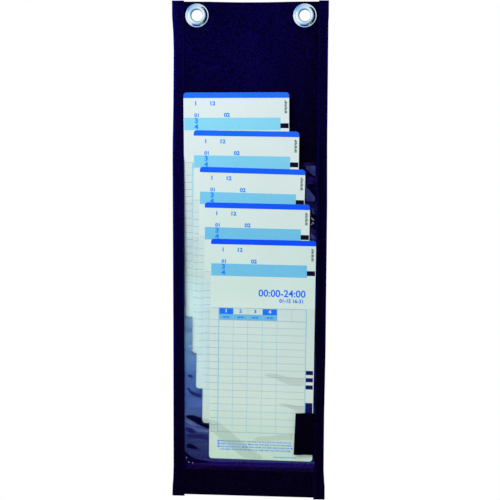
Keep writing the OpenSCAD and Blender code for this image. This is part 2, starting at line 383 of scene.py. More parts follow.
clothNavy = wovenMaterial(
    "clothNavy", (0.002, 0.0007, 0.01), (0.0024, 0.0009, 0.038), pitch=0.7, size=(123, 447), bump=0.5,
    fade=(-120, -40, 75, 15), back=(0.0088, 0.0033, 0.066))
ribbonDark = wovenMaterial(
    "ribbonDark", (0.0016, 0.0008, 0.006), (0.0018, 0.001, 0.008), pitch=0.45, size=(32, 33), bump=0.4,
    fade=(-360, -310, 60, 30))
threadNavy = wovenMaterial(
    "threadNavy", (0.003, 0.0018, 0.022), (0.0045, 0.003, 0.07), pitch=0.3, size=(3, 1), bump=0.3,
    fade=(-380, 20, 130, -60), back=(0.018, 0.012, 0.2))
tapeNavy = wovenMaterial(
    "tapeNavy", (0.0018, 0.0007, 0.011), (0.0024, 0.0009, 0.048), pitch=0.6, size=(18, 403), bump=0.5,
    fade=(-380, 20, 200, -60), back=(0.011, 0.0042, 0.09))
# where the tape is painted paler: a painted highlight along the free lip, wear and a painted highlight along
# the fold
tapeWear = {
    "across": [(0, 0.34), (0.04, 0.26), (0.08, 0), (0.41, 0), (0.47, 0.6), (0.56, 0.6), (0.64, 0)],
    "fray": [(0.38, 0.2), (0.62, 1)], "foot": 0.25, "blue": (0.003, 0.003, 0.26)}


def wearTape(mat):
    # the binding tape is paler along its free lip, a painted highlight, and where the fold is rubbed, part
    # wear and part painted highlight, less so at the foot
    base = colourOf(mat)
    rub = product(greyRamp(axes("UV")["X"], tapeWear["across"]),
                  greyRamp(noiseNode(240, (1, 1, 0.25), Detail=3), tapeWear["fray"]))
    high = product(within("Z", -380, -20), 1 - tapeWear["foot"])
    rub = product(rub, blend("ADD", high, tapeWear["foot"]))
    surface(mix(rub, base, tapeWear["blue"]))


wearTape(tapeNavy)


# paper and inks

def paperMaterial(name, colour, fleck):
    newMaterial(name)
    grain = noiseNode(900, Detail=3, Roughness=0.65)
    tone = mix(0.5, grain, noiseNode(22, Detail=2))
    flecked = graded(tone, [(0.3, *fleck), (0.6, *colour)])
    return surface(flecked, 0.75, 0.1, Normal=relief(grain, 0.12, 0.00005))


def upTheHolder(mat, low, high, stops):
    # tones a print or paper by its height on the holder
    base = colourOf(mat)
    tone = graded(within("Z", low, high, "LINEAR"), stops)
    surface(tint(base, tone))


def coolAtLeft(mat, across, up, tone):
    # painted light: tints a paper blue near the left tape, where blue light falls, between two sides and
    # fading over two pairs of heights, in millimetres
    base = colourOf(mat)
    tall = product(within("Z", up[0], up[1]), within("Z", up[3], up[2]))
    near = product(within("X", *across), tall)
    surface(mix(near, base, tint(base, tone)))


cardPaper = paperMaterial("cardPaper", (0.742, 0.903, 0.862), (0.7, 0.856, 0.815))
# painted shade: the paper is darker near the foot of the holder and a little darker at some heights, standing
# in for how the light falls there
upTheHolder(cardPaper, -352, -100, [
    (0, 0.83, 0.915, 0.765), (0.17, 0.985, 0.99, 0.91), (0.42, 0.955, 0.972, 0.935), (0.53, 0.88, 0.92, 0.9),
    (1, 0.965, 0.92, 0.97)])
coolAtLeft(cardPaper, (-29, -38), (-325, -295, -222, -205), (0.965, 1.035, 1.105))
# each ink's colour and the colour of its flecks
inkTones = {
    "Blue": ((0.013, 0.165, 1), (0.012, 0.15, 0.9)), "Sky": ((0.25, 0.7, 0.92), (0.225, 0.65, 0.865)),
    "Line": ((0.35, 0.61, 0.67), (0.32, 0.57, 0.63)), "Rule": ((0.33, 0.69, 0.83), (0.3, 0.65, 0.8)),
    "Faint": ((0.2, 0.47, 0.64), (0.18, 0.43, 0.6)), "Dark": ((0.003, 0.002, 0.085), (0.002, 0.001, 0.07)),
    "Text": ((0.001, 0.165, 0.97), (0.001, 0.15, 0.92)), "Small": ((0.01, 0.27, 0.93), (0.009, 0.25, 0.88)),
    "Strip": ((0.05, 0.33, 0.96), (0.045, 0.3, 0.9)), "Head": ((0.01, 0.212, 1), (0.009, 0.195, 0.95)),
    "Pale": ((0.11, 0.4, 0.76), (0.1, 0.37, 0.72))}
ink = {kind.lower(): paperMaterial("ink" + kind, *tones) for kind, tones in inkTones.items()}
ink["paper"] = cardPaper
upTheHolder(ink["blue"], -185, -60, [(0, 0.31, 0.485, 1), (1, 1, 1, 0.95)])
upTheHolder(ink["sky"], -170, -80, [(0, 0.69, 0.8, 0.915), (1, 1, 1, 1)])
upTheHolder(ink["dark"], -270, -235, [(0, 1, 1, 1), (1, 1, 1, 0.24)])


# plated metal with painted reflections and shade: tones round an eyelet, from its left side by its foot,
# right side and head the ring, the wall of the hole with the radii it ends between, and the painted shade in
# the groove at the right and its painted blue reflection at the foot

plating = {
    "ring": [(0, 0.95, 1, 1), (0.13, 0.93, 1, 1), (0.2, 0.58, 0.78, 1), (0.26, 0.5, 0.66, 0.84),
        (0.34, 0.6, 0.73, 0.68), (0.42, 0.7, 0.84, 0.84), (0.5, 0.92, 1, 1), (0.6, 0.92, 0.98, 1),
        (0.68, 0.78, 0.87, 0.93), (0.76, 0.62, 0.77, 0.82), (0.83, 0.44, 0.66, 0.9),
        (0.9, 0.4, 0.66, 1), (0.95, 0.78, 0.92, 1), (1, 0.95, 1, 1)],
    "wall": [(0, 0.4, 0.48, 0.58), (0.12, 0.46, 0.54, 0.58), (0.26, 0.46, 0.55, 0.56),
        (0.4, 0.72, 0.86, 0.9), (0.52, 0.9, 1, 1), (0.63, 0.55, 0.76, 0.9), (0.74, 0.12, 0.22, 0.42),
        (0.85, 0.22, 0.36, 0.46), (1, 0.4, 0.48, 0.58)], "wallR": (4.9, 5.8),
    "metal": [(0.3, 0.88, 0.93, 0.96), (0.7, 0.97, 0.99, 1)], "rough": (0.11, 0.18),
    # painted shade in the groove, and its painted blue reflection at the foot
    "dark": [(0.35, 0.003, 0.002, 0.03), (0.65, 0.008, 0.006, 0.075)],
    "blue": [(0.35, 0.014, 0.026, 0.3), (0.65, 0.035, 0.06, 0.55)], "blueZ": (-6, -7.2)}


def platedMaterial():
    newMaterial("platedEyelet")
    brush = noiseNode(300, Detail=2)
    x, y, z = axes("Object")
    apart = 2 * holder["eyeletX"] * mm
    x = blend("MODULO", blend("ADD", x, apart), apart)
    x = blend("SUBTRACT", x, apart / 2)  # from the middle of the nearer eyelet
    local = feed(addNode("CombineXYZ"), x, z)[0]
    turn = feed(addNode("TexGradient", gradient_type="RADIAL"), local)["Fac"]
    reach = feed(addNode("VectorMath", operation="LENGTH"), local)["Value"]
    # painted reflections and shade: the ring and the wall of the hole are lighter or darker by their angle
    # round the eyelet
    ring, wall = (graded(turn, plating[k]) for k in ("ring", "wall"))
    outer = slope(reach, *(r * mm for r in plating["wallR"]))
    metal = graded(brush, plating["metal"])
    return surface(tint(metal, mix(outer, wall, ring)), slope(brush, 0, 1, *plating["rough"]), Metallic=1)


def tarnishMaterial():
    # painted shade in the eyelet's groove, with a painted blue reflection towards its foot
    newMaterial("eyeletTarnish")
    stain = noiseNode(380, Detail=2)
    dark, blue = (graded(stain, plating[k]) for k in ("dark", "blue"))
    return surface(mix(within("Z", *plating["blueZ"]), dark, blue), 0.5, 0.1)


plated = platedMaterial()
tarnish = tarnishMaterial()


# clear vinyl: its veil, a painted reflection, and its seam band, with a painted highlight line, are toned
# upwards and downwards between heights, in millimetres

film = {
    "veilAlpha": 0.105, "clearAlpha": 0.026, "clear": (0.06, 0.09, 0.5), "shine": (0.35, 0.42, 1),
    # painted reflection: the sky tones tint the clear vinyl blue at the left
    "sky": [(0, 0.78, 1, 1), (1, 0.18, 0.42, 0.58)], "skyX": (-30, -46), "skyZ": (-222, -190),
    "veil": [(0, 0.06, 0.07, 0.45), (0.1, 0.09, 0.1, 0.62), (0.2, 0.14, 0.25, 0.72),
        (0.29, 0.13, 0.2, 0.72), (0.36, 0.21, 0.37, 1), (0.59, 0.16, 0.36, 1), (0.71, 0.19, 0.43, 1),
        (0.88, 0.3, 0.62, 1), (1, 0.36, 0.68, 1)], "veilZ": (-372, -250),
    "wave": [(0.36, 0.5, 0.52, 0.7), (0.47, 0.8, 0.82, 0.9), (0.62, 1, 1, 1)],
    # painted reflections in the crumpled vinyl at the right
    "crumple": [(0.5, 0.004, 0.002, 0.04), (0.62, 0.02, 0.012, 0.16), (0.85, 0.05, 0.04, 0.36)],
    "crumpleX": (10, 30),
    "seam": [(0, 0.14, 0.21, 0.82), (0.11, 0.15, 0.21, 0.72), (0.18, 0.055, 0.035, 0.45),
        (0.27, 0.03, 0.006, 0.46), (0.35, 0.03, 0.006, 0.48), (0.4, 0.048, 0.028, 0.48),
        (0.49, 0.048, 0.028, 0.46), (0.56, 0.028, 0.008, 0.25), (0.64, 0.026, 0.006, 0.17),
        (1, 0.024, 0.005, 0.13)], "seamZ": (-359.8, -368.6), "seamFade": (-359.2, -360)}


def vinylBase(name, alpha):
    newMaterial(name)
    ripple = noiseNode(46, (1, 1, 0.7), (0, -0.6, 0), Detail=3, Distortion=0.8)
    surface(None, 0.1, 0.15, Normal=relief(ripple, 0.25, 0.0008), IOR=1.53, Alpha=alpha,
            **{"Specular Tint": film["shine"]})


def clearVinylMaterial():
    # clear over the cards, with a painted blue reflection at the left
    vinylBase("clearVinyl", film["clearAlpha"])
    sky = graded(within("Z", *film["skyZ"]), film["sky"])
    cool = within("X", *film["skyX"])
    return surface(mix(cool, film["clear"], sky))


def veiledVinylMaterial():
    # over bare cloth: a painted reflection, a rumpled blue veil at the left, nearly clear at the right where
    # it breaks into painted facet reflections, banded along the seam with a painted highlight line at its top
    vinylBase("veiledVinyl", film["veilAlpha"])
    fold = noiseNode(60, (0.55, 1, 2.2), (0, 0.45, 0), Detail=2, Distortion=0.5)
    tall = graded(within("Z", *film["veilZ"], "LINEAR"), film["veil"])
    veil = tint(tall, graded(fold, film["wave"]))
    facets = feed(addNode("TexVoronoi", Scale=150), coordinates("Object", (1, 1, 0.8), (0, 0.3, 0)))
    crumple = graded(facets["Color"], film["crumple"])
    colour = mix(within("X", *film["crumpleX"]), veil, crumple)
    seam = graded(within("Z", *film["seamZ"], "LINEAR"), film["seam"])
    return surface(mix(within("Z", *film["seamFade"]), colour, seam))


def vinylMarkMaterial(name, low, high, alpha):
    # a mottled tone for one kind of painted light or shade on the vinyl
    newMaterial(name)
    mottle = noiseNode(160, Detail=2)
    return surface(graded(mottle, [(0.35, *low), (0.65, *high)]), 0.3, 0, Alpha=alpha)


clearVinyl = clearVinylMaterial()
veiledVinyl = veiledVinylMaterial()
# painted light and shade on the vinyl: dark gaps in the painted reflection, painted shade, painted
# reflections, painted shadows of creases on the card and painted glints
markTones = {
    "Gap": ((0.0018, 0.0005, 0.017), (0.0032, 0.001, 0.03), 0.8),
    "Dusk": ((0.008, 0.003, 0.09), (0.024, 0.01, 0.18), 0.45),
    "Facet": ((0.022, 0.02, 0.17), (0.055, 0.075, 0.27), 0.5),
    "Streak": ((0.1, 0.16, 0.4), (0.18, 0.27, 0.55), 0.4),
    "Shade": ((0.02, 0.05, 0.06), (0.04, 0.07, 0.08), 0.048),
    "Crease": ((0.45, 0.56, 0.95), (0.9, 0.95, 1), 0.7)}
mark = {kind.lower(): vinylMarkMaterial("vinyl" + kind, *tones) for kind, tones in markTones.items()}
print("stage: materials mixed")


# cloth panel: one cloth, hem turned back at the top and forward at the bottom

panel = {
    "across": 62, "flat": (0.123, 0.447), "hole": 5.05, "bend": (0.5, 1.1, 1.57, 2.1, 2.6),
    "steps": (12, 190, 10), "wave": 0.5, "freeZ": (-100, -60), "freeX": (61, 46), "stiffZ": (0, 12),
    "stiff": 0.7, "sag": 0.55, "sagTall": 6, "sagX": (43, 6)}


def panelPath():
    # run of the cloth from the back of the top hem over the fold, down, and up the front hem
    t = clothT
    mid = -t / 2
    hem, down, front = panel["steps"]
    path = [(t / 2, zTop - topHem + i * (topHem - t) / hem) for i in range(hem + 1)]
    path += [(mid + t / 2 + t / 2 * cos(a), zTop - t + t / 2 * sin(a)) for a in panel["bend"]]
    low = zBot + t + hemGap / 2 - 0.5
    path += [(mid, zTop - t + (low - zTop + t) * i / down) for i in range(down + 1)]
    r = (t + hemGap) / 2
    path += [(mid - r + r * cos(a), low - r * sin(a)) for a in panel["bend"]]
    path += [(mid - 2 * r, low + (zHem - low) * i / front) for i in range(front + 1)]
    return path


def makePanel():
    path = panelPath()
    count = len(path) - 1

    def place(u, v):
        x = (u - 0.5) * holder["panelW"]
        y, z = path[round((1 - v) * count)]
        free = smooth(*panel["freeZ"], z) * (1 - smooth(*panel["stiffZ"], z) * panel["stiff"])
        free *= smooth(*panel["freeX"], abs(x))
        y += panel["wave"] * free * (noise.noise(Vector((x * 0.02, z * 0.03, 3.1))) + 0.3)
        zSag = zTop - panel["sagTall"]
        if z > zSag:
            z -= panel["sag"] * smooth(*panel["sagX"], abs(x)) * smooth(zSag, zTop, z)
        return sideX(x, z), y, z

    cloth = gridSheet("panelCloth", panel["across"], count, place, clothT - holder["shy"])
    for side in (-1, 1):  # eyelet holes
        punch = added(meshOps.primitive_cylinder_add, vertices=48, radius=panel["hole"] * mm, depth=0.02,
                      location=(side * holder["eyeletX"] * mm, 0, 0), rotation=(pi / 2, 0, 0))
        modify(cloth, "hole", "BOOLEAN", object=punch, operation="DIFFERENCE", solver="EXACT")
        bpy.data.objects.remove(punch)
    dress(cloth, clothNavy)
    settle(cloth, "panel", "cloth", "back_panel")


makePanel()
print("stage: cloth panel hung")


# side binding: a tape folded over the edge, its front lip riding over the pockets

tape = {
    "fade": 25, "overTop": 0.8, "wall": 0.44, "steps": 25, "along": 200, "flatLip": 0.4, "puff": 0.12,
    "edge": 0.3, "ease": 0.05, "ride": 0.09, "behind": 0.02, "ends": (3, 11, 13, 19),
    "flat": {-1: (0.0185, 0.428), 1: (0.0167, 0.428)}}
bindLow = hemGap + clothT + tape["ease"]
bindHigh = max(sheetOff(strip + depth, 0) + vinylT + 0.04, bindLow)


def bindOff(z):
    return ramp(z, [(zHem, bindLow), (mouthZ(5), bindHigh), (mouthZ(1), bindHigh),
                    (mouthZ(1) + tape["fade"], tape["ease"])])


def lipOff(z):
    high = mouthOff + tape["ride"]
    return ramp(z, [(floorZ(5), max(bindLow, floorOff + vinylT + tape["ride"])), (mouthZ(5), high),
                    (mouthZ(1), high), (mouthZ(1) + tape["fade"], tape["ease"])])


def backOff(z):
    zFold = zTop - topHem
    return ramp(z, [(zFold - 3, tape["behind"]), (zFold - 1, clothT + tape["behind"])])


def tapeThick(z):
    # doubled where its ends are turned in
    low, high = zBot + holder["turnBottom"], zTop - holder["turnTop"]
    return ramp(z, [(low - 1, 2), (low, 1), (high, 1), (high + 1, 2)]) * holder["tape"]


def makeTape(side, word):
    half = holder["panelW"] / 2 + 0.02
    lo, hi = zBot - holder["over"], zTop + tape["overTop"]
    steps, edge, puff = tape["steps"], tape["edge"], tape["puff"]
    lipEnd, seamEnd, flatEnd, foldEnd = tape["ends"]
    bendX = lipEdge + tape["flatLip"]

    def place(u, v):
        z = lo + (hi - lo) * v
        t = tapeThick(z) / 2
        k = round(u * steps)
        f, b = bindOff(z) + t, backOff(z) + t
        wide = half + ramp(z, outline[side])
        if k <= lipEnd:  # free lip, flat over the pockets
            free = ramp(z, lipX[side])
            x = free + (bendX - free) * k / lipEnd
            wander = sin(z * 0.21 + side) * (1 - k / (lipEnd + 1)) * smooth(mouthZ(1), mouthZ(1) - 20, z)
            y = frontY(lipOff(z) + t) - puff * wander
        elif k <= seamEnd:  # down to the seam line
            s = (k - lipEnd) / (seamEnd - lipEnd)
            x = bendX + (seamX - bendX) * s
            o = (lipOff(z) + t) * (1 - smooth(0, 1, s)) + f * smooth(0, 1, s)
            y = frontY(o) - puff * smooth(0, 0.5, s) * (1 - smooth(0.5, 1, s))
        elif k <= flatEnd:
            x = seamX + (wide - edge - seamX) * (k - seamEnd) / (flatEnd - seamEnd)
            y = frontY(f)
        elif k <= foldEnd:
            a = pi * (k - flatEnd - 1) / (foldEnd - flatEnd - 1)
            x = wide - edge / 2 + (t + edge / 2) * sin(a)
            y = (frontY(f) + b) / 2 + (frontY(f) - b) / 2 * cos(a)
        else:
            x = wide - edge - (wide - edge - lipEdge) * (k - foldEnd - 1) / (steps - foldEnd - 1)
            y = b
        return side * x, y, z

    walk = [Vector(place(k / steps, 0.5)) for k in range(steps + 1)]
    runs = [(b - a).length for a, b in zip(walk, walk[1:])]
    columns = [sum(runs[:k]) / sum(runs) for k in range(steps + 1)]
    strap = gridSheet(f"{word}Tape", steps, tape["along"], place, tape["wall"], columns)
    dress(strap, tapeNavy)
    settle(strap, "panel", "binding_tape", f"{word}_binding")


for side, word in sides:
    makeTape(side, word)
print("stage: side tapes folded")


# stitches: one short thread modelled once and repeated along each seam

stitch = {
    "pitch": 3, "long": 2.7, "wide": 0.5, "high": 0.4, "proud": 0.02, "sideX": 59.5, "across": 35, "below": 7}


def oneStitch():
    return added(meshOps.primitive_uv_sphere_add, segments=8, ring_count=6, radius=0.5 * mm)


def stitchRow(name, node, start, run, count, surfaces):
    # start and run in millimetres, surfaces gives the y of each face that carries stitches
    rows = []
    for y, facing in surfaces:
        bead = oneStitch()
        long, wide = stitch["long"], stitch["wide"]
        size = Vector((long if run[0] else wide, stitch["high"], long if run[2] else wide))
        for v in bead.data.vertices:
            v.co = v.co * size + Vector(start) * mm
        modify(bead, "row", "ARRAY", count=count, use_relative_offset=False, use_constant_offset=True,
               constant_offset_displace=Vector(run) * stitch["pitch"] * mm)
        for v in bead.data.vertices:
            v.co.y += (y(v.co.z / mm) + facing * stitch["proud"]) * mm
        rows.append(bead)
    thread = joinAll(name, rows)
    tidyNormals(thread)
    dress(thread, threadNavy)
    settle(thread, "panel", "thread", node)


def bindFront(z):
    return frontY(bindOff(z) + tapeThick(z) / 2 + tape["wall"] / 2)


def bindBack(z):
    return backOff(z) + tapeThick(z) / 2 + tape["wall"] / 2


def makeStitches():
    count = int((holder["panelH"] - 4) / stitch["pitch"])
    for side, word in sides:
        start = (side * stitch["sideX"], 0, zBot + 3)
        stitchRow(f"{word}TapeThread", f"{word}_binding_thread", start, (0, 0, 1), count,
                  [(bindFront, -1), (bindBack, 1)])
    x0 = -(stitch["across"] - 1) / 2 * stitch["pitch"]
    t = clothT
    rows = [("topHemThread", "top_hem_thread", zTop - topHem + 2.2, -t, t),
            ("bottomHemThread", "bottom_hem_thread", zHem - 2, frontY(hemGap + t), 0)]
    onSheet = frontY(sheetOff(strip - stitch["below"], 1) + vinylT)
    for k in range(1, 6):
        rows.append((f"pocketThread{k}", f"pocket_thread_{k}", floorZ(k) - stitch["below"], onSheet, 0))
    for name, node, z, front, back in rows:
        stitchRow(name, node, (x0, 0, z), (1, 0, 0), stitch["across"],
                  [(lambda _, y=front: y, -1), (lambda _, y=back: y, 1)])


makeStitches()
print("stage: seams sewn")


# eyelets: profile turned about the hole, the groove's painted shade as middle and reach in degrees and width

eyelet = {
    "bore": 4.4, "barrel": 4.9, "back": 1.7, "crown": 5.95, "crownR": 1.55, "crownH": 1.3, "rise": 0.4,
    "lean": -0.4, "leanR": (6.2, 7.6), "leanH": 0.15, "curl": 5.7, "curlR": 1.3, "curlH": 0.8,
    "groove": 7.95, "stains": [(0, 64, 0.52), (-93, 28, 0.5)], "turns": 96, "flat": (7.65, 0.13, 6, 0.08),
    "rim": [(8.45, 0.2), (8.52, 0.42), (8.7, 0.6), (8.95, 0.65), (9.2, 0.56), (9.36, 0.34), (9.4, 0.12),
        (9.38, 0)]}


def eyeletProfile():
    # radius and height forward of the cloth: bore, rolled crown, groove, thin rim, barrel and the roll behind
    e = eyelet
    start, step, count, high = e["flat"]
    over, under = ([radians(d) for d in turn] for turn in (range(172, -1, -12), range(0, 180, 15)))
    return [(e["bore"], -e["back"]), (e["bore"], 0.2),
            *((e["crown"] + e["crownR"] * cos(a), e["rise"] + e["crownH"] * sin(a)) for a in over),
            *((start + step * i, high) for i in range(count)),
            *e["rim"], (e["barrel"], 0.0), (e["barrel"], -e["back"]),
            *((e["curl"] + e["curlR"] * cos(a), -e["back"] - e["curlH"] * sin(a)) for a in under)]


def makeEyelet(side, word):
    ring = added(meshOps.primitive_circle_add, vertices=len(eyeletProfile()), radius=1 * mm)
    for v, (r, h) in zip(ring.data.vertices, eyeletProfile()):
        v.co = (r * mm, (-clothT - h) * mm, 0)
    modify(ring, "turn", "SCREW", axis="Y", angle=2 * pi, steps=eyelet["turns"],
           render_steps=eyelet["turns"], use_merge_vertices=True, merge_threshold=1e-6)
    tidyNormals(ring, 40)
    # the second finish is the painted shade in the groove
    dress(ring, plated, tarnish)
    for f in ring.data.polygons:  # painted shade in the groove, tapering along the ring
        r, angle = hypot(f.center.x, f.center.z) / mm, degrees(atan2(f.center.z, f.center.x))
        ahead = -f.center.y / mm - clothT
        for mid, reach, wide in eyelet["stains"]:
            taper = max(0, 1 - ((angle - mid) / reach) ** 2) ** 0.5
            if abs(r - eyelet["groove"]) < wide * taper and 0 < ahead < 0.5:
                f.material_index = 1
    for v in ring.data.vertices:  # the crown is rolled a little off centre
        r, ahead = hypot(v.co.x, v.co.z) / mm, -v.co.y / mm - clothT
        full, end = eyelet["leanR"]
        if ahead > eyelet["leanH"] and r < end:
            v.co.x += eyelet["lean"] * smooth(eyelet["bore"], full, r) * mm
        v.co.x += side * holder["eyeletX"] * mm
    settle(rename(ring, "eyelet" + word.title()), "panel", "plated_metal", f"eyelet_{word}")
    dress(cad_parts[f"eyelet_washer_{word}"], plated)


for side, word in sides:
    makeEyelet(side, word)
print("stage: eyelets set")


# time cards: rounded card with its print as thin ink, sunk into the paper a little

card = {"w": 84.5, "h": 181, "r": 2.5, "t": 0.25, "ink": 0.012, "sunk": 0.01, "band": 4.4, "room": 0.3,
        "place": (0.02, 0.34, 0.53, 0.75, 1), "turn": (-0.4, 0.45, 1.15, 0.75, 0.6)}
cardHalf = card["w"] / 2


def cardPlace(k):
    a = radians(card["turn"][k - 1])
    reach, half = card["h"] * sin(a), cardHalf * cos(a)
    most = lipEdge - card["room"]
    lo = -most + half - min(0, reach)
    hi = most - half - max(0, reach)
    x = lo + card["place"][k - 1] * (hi - lo)
    z = floorZ(k) + cardHalf * abs(sin(a))
    y = frontY(floorOff - holder["slide"] - holder["card"])
    turn = Matrix.Rotation(lean, 4, "X") @ Matrix.Rotation(a, 4, "Y")
    return Matrix.Translation(Vector((x, y, z)) * mm) @ turn


def cardSlab(low, y0, y1, material):
    # as wide as the card and from a height to its top, rounded where the card's own corners are
    slab = added(meshOps.primitive_plane_add, size=1)
    setMode("EDIT")
    meshOps.select_mode(type="VERT")
    meshOps.select_all(action="DESELECT")
    setMode("OBJECT")
    for v in slab.data.vertices:
        top = v.co.y > 0
        v.select = top or low == 0
        v.co = ((cardHalf if v.co.x > 0 else -cardHalf) * mm, y0 * mm, (card["h"] if top else low) * mm)
    setMode("EDIT")
    meshOps.bevel(offset=card["r"] * mm, segments=8, affect="VERTICES")
    meshOps.select_all(action="SELECT")
    meshOps.extrude_region_move(TRANSFORM_OT_translate={"value": (0, (y1 - y0) * mm, 0)})
    setMode("OBJECT")
    dress(slab, material)
    return slab


def inkBar(x0, x1, d0, d1, kind, level=0):
    # a printed rectangle, x from the card's left edge and d from its top, in millimetres
    bar = added(meshOps.primitive_cube_add, size=1)
    front = -card["t"] - card["ink"] * (1 + level)
    back = -card["t"] + card["sunk"]
    for v in bar.data.vertices:
        v.co = ((-cardHalf + (x1 if v.co.x > 0 else x0)) * mm, (back if v.co.y > 0 else front) * mm,
                (card["h"] - (d0 if v.co.z > 0 else d1)) * mm)
    dress(bar, ink[kind])
    return bar


def inkDigits(text, x, d, tall, kind, wide=1, weight=0.05, level=1):
    # plain figures, centred on x and d, a figure is 0.7 of its type size
    figures = added(bpy.ops.object.text_add)
    setAll(figures.data, body=text, size=tall / 0.7 * mm, align_x="CENTER", align_y="CENTER", resolution_u=4,
           extrude=0.5 * card["ink"] * mm, offset=weight * tall * mm)
    bpy.ops.object.convert(target="MESH")
    figures = bpy.context.object
    ahead = -card["t"] - card["ink"] * (0.4 + level)
    for v in figures.data.vertices:
        flat = v.co.copy()
        v.co = ((-cardHalf + x) * mm + flat.x * wide, ahead * mm - flat.z, (card["h"] - d) * mm + flat.y)
    dress(figures, ink[kind])
    return figures


# what is printed where: bars as x0, x1, d0, d1 and ink, figures as text, x, d, height, ink, width and weight
# small print is broken into words and gaps, each by a least length and what is added to it

table = {
    "columns": (6.9, 18.7, 30.5, 42.3, 54.2, 77.7), "half": 66, "head": (56, 61.1, 65.9), "rows": 16,
    "end": 158.6, "line": 0.34, "heavy": 1.5, "border": 2.3, "edge": 0.6, "dash": (62.7, 64.3),
    "dashes": ((-2.4, -0.2), (0.3, 2.5))}
layout = {
    "bars": [(0.4, 77.6, 20, 30, "sky"), (77.5, 84.1, 24.5, 28.4, "dark"), (77.3, 83.9, 105.9, 109.3, "dark"),
        (77.3, 83.9, 111.8, 115.2, "dark"), (77.3, 83.9, 117.8, 121.2, "dark"),
        (77.3, 83.9, 132.4, 145.5, "dark")],
    "figures": [("1", 9.8, 8.8, 3, "small", 1.1, 0.065), ("12", 23.2, 8.8, 3, "small", 1.1, 0.065),
        ("01", 10.8, 18.2, 2.7, "small", 1.1, 0.065), ("02", 34.8, 18, 3, "small", 1.1, 0.065),
        ("3", 10.2, 22.6, 3.8, "small", 1.2, 0.05), ("4", 10.2, 27.4, 3.8, "small", 1.2, 0.05),
        ("00:00-24:00", 57.8, 43.6, 5.6, "text", 1, 0.028),
        ("01-15 16-31", 65.6, 49.4, 3, "text", 0.93, 0.05)],
    "ticks": {"count": 9, "x": 80.9, "d": 6.6, "pitch": 1.15, "tall": 0.72, "long": (1.4, 2, 2)},
    "small": {"lines": (166.2, 168.5, 170.8, 173.1), "dot": (7, 8.5), "half": 0.75, "x": 9.4, "stop": 67,
        "end": 68.5, "tall": (0.6, 0.52), "word": (0.8, 1.8), "gap": (0.8, 0.6)},
    "last": {"count": 8, "x": 53, "pitch": 2.4, "long": 1.7, "d": (178, 178.8)}}


def cardPrint():
    parts = []

    def bar(*values):
        parts.append(inkBar(*values))

    for b in layout["bars"]:
        bar(*b)
    for f in layout["figures"]:
        parts.append(inkDigits(*f))
    tick = layout["ticks"]
    for i in range(tick["count"]):  # row of ticks up the right edge
        d = tick["d"] + i * tick["pitch"]
        bar(tick["x"], tick["x"] + tick["long"][i % 3], d, d + tick["tall"], "dark")
    col, head = table["columns"], table["head"]
    for i in (0, 3):
        bar(col[i], col[i + 1], head[0], head[1], "head")
    bar(col[0], col[4], head[1], head[2], "sky")
    for i, tone in enumerate(("paper", "small", "small", "paper")):
        mid = (col[i] + col[i + 1]) / 2
        parts.append(inkDigits(str(i + 1), mid, (head[0] + head[1]) / 2, 2.6, tone, 1.2, level=2))
        for start, end in table["dashes"]:
            bar(mid + start, mid + end, *table["dash"], "strip", 1)
    w = table["line"] / 2
    pitch = (table["end"] - head[2]) / table["rows"]
    for d in [head[0]] + [head[2] + pitch * i for i in range(table["rows"] + 1)]:
        heavy = table["heavy"] if d in (head[0], head[2]) or d > table["end"] - 1 else 1
        bar(col[0], col[-1], d - w * heavy, d + w * heavy, "line", 0.5)
        bar(table["edge"], col[0], d - w, d + w, "line" if heavy > 1 else "faint", 0.5)
    for x in col:
        heavy = table["border"] if x in (col[0], col[-1]) else 1
        bar(x - w * heavy, x + w * heavy, head[0], table["end"], "rule", 0.7)
    bar(table["half"] - w, table["half"] + w, head[0], head[2], "rule", 0.7)
    small = layout["small"]
    (up, down), (word, more), (gap, extra) = (small[k] for k in ("tall", "word", "gap"))
    for row, d in enumerate(small["lines"]):  # broken lines of small print
        if row < 3:
            bar(*small["dot"], d - small["half"], d + small["half"], "head")
        x = small["x"]
        n = 0
        while x < small["stop"]:
            grain = noise.noise(Vector((x * 0.9, row * 5.3, 2)))
            long = word + more * abs(grain)
            kind = "head" if grain > -0.1 else "small" if n % 2 else "pale"
            bar(x, min(x + long, small["end"]), d - up, d + down, kind)
            x += long + gap + extra * (n % 2)
            n += 1
    last = layout["last"]
    for i in range(last["count"]):
        x = last["x"] + i * last["pitch"]
        bar(x, x + last["long"], *last["d"], "pale")
    return parts


def makeCards():
    t = card["t"]
    slab = cardSlab(0, 0, -t, cardPaper)
    band = cardSlab(card["h"] - card["band"], -t + card["sunk"], -t - card["ink"], ink["blue"])
    cards = [joinAll("timeCard1", [slab, band] + cardPrint())]
    tidyNormals(cards[0], 30)
    for k in range(2, 6):
        pick(cards[0])
        bpy.ops.object.duplicate(linked=False)
        cards.append(rename(bpy.context.object, f"timeCard{k}"))
    for k, c in enumerate(cards, 1):
        c.data.transform(cardPlace(k))
        settle(c, f"card_{k}", "card_paper", f"time_card_{k}")


makeCards()
print("stage: cards printed")


# clear pockets, with painted reflections, shade and glints where the vinyl is creased, sheets counted from
# the top

vinyl = {"across": 72, "along": 84, "edge": 61.35, "swell": (0.35, 0.5), "swellX": (54, 40), "foot": 25,
         "head": 12, "tabX": (26, 33), "tabZ": (-300, -312)}
vinylMarks = {"skin": 0.03, "sunk": 0.03, "ridge": 0.22}
